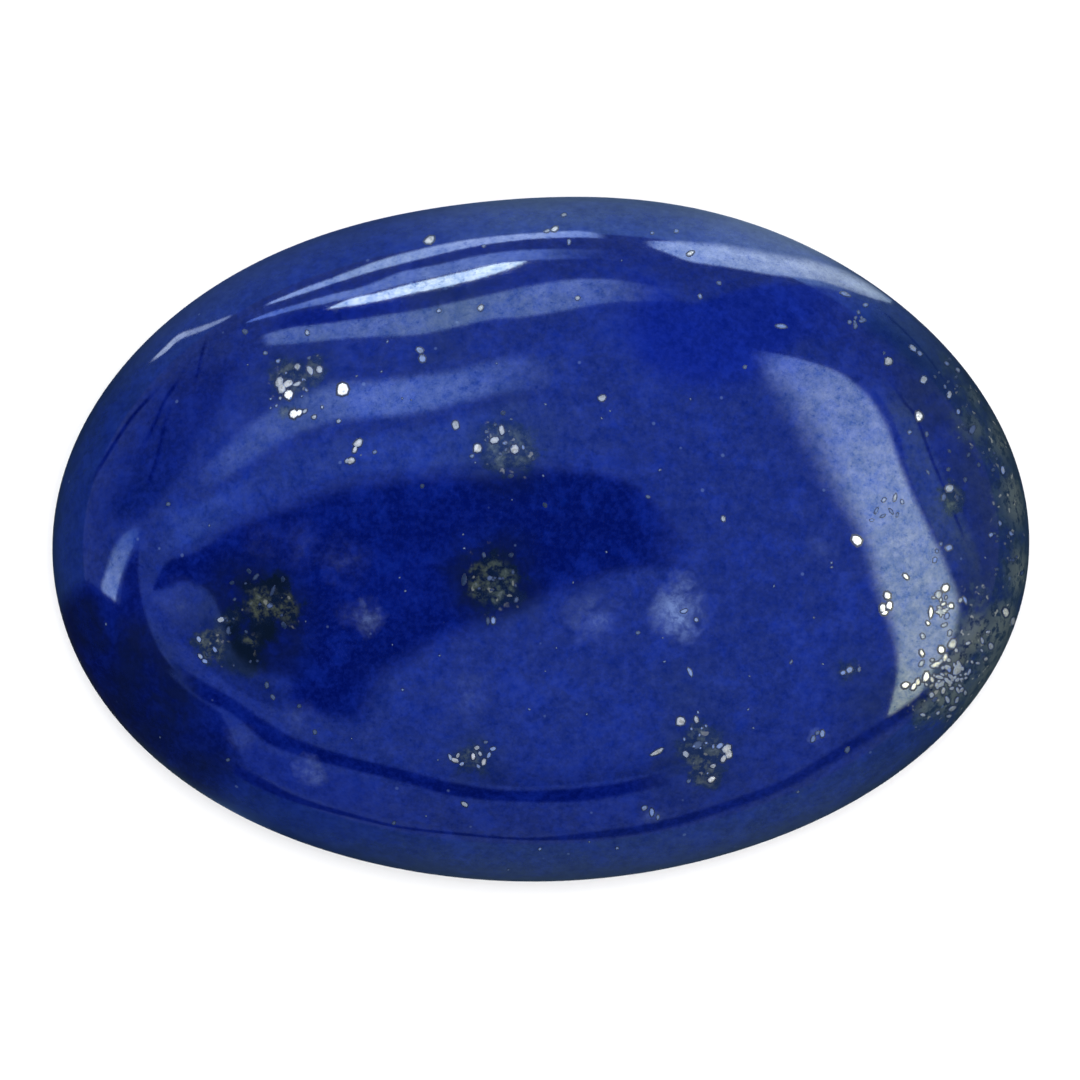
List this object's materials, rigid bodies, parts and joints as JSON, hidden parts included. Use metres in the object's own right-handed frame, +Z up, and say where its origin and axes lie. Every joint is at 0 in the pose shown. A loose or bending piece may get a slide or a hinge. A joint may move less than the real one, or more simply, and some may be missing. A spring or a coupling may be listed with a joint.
{
  "type": "lapis lazuli cabochon",
  "caption": "Oval lapis lazuli cabochon with a polished dome and a flat lapped back, to lie loose or to be set in a bezel.",
  "frame": {"origin": "middle of the flat back, where the stone rests, below the middle of its outline", "axes": "+Z up out of the dome, +X along the stone's length, +Y across it"},
  "size_m": [0.02, 0.014, 0.0052],
  "materials": {
    "lapis": "polished deep blue lapis lazuli with brassy pyrite grains, dark matrix spots and faint pale clouds"
  },
  "bodies": {
    "root": {"cabochon": "lapis"}
  },
  "joints": []
}
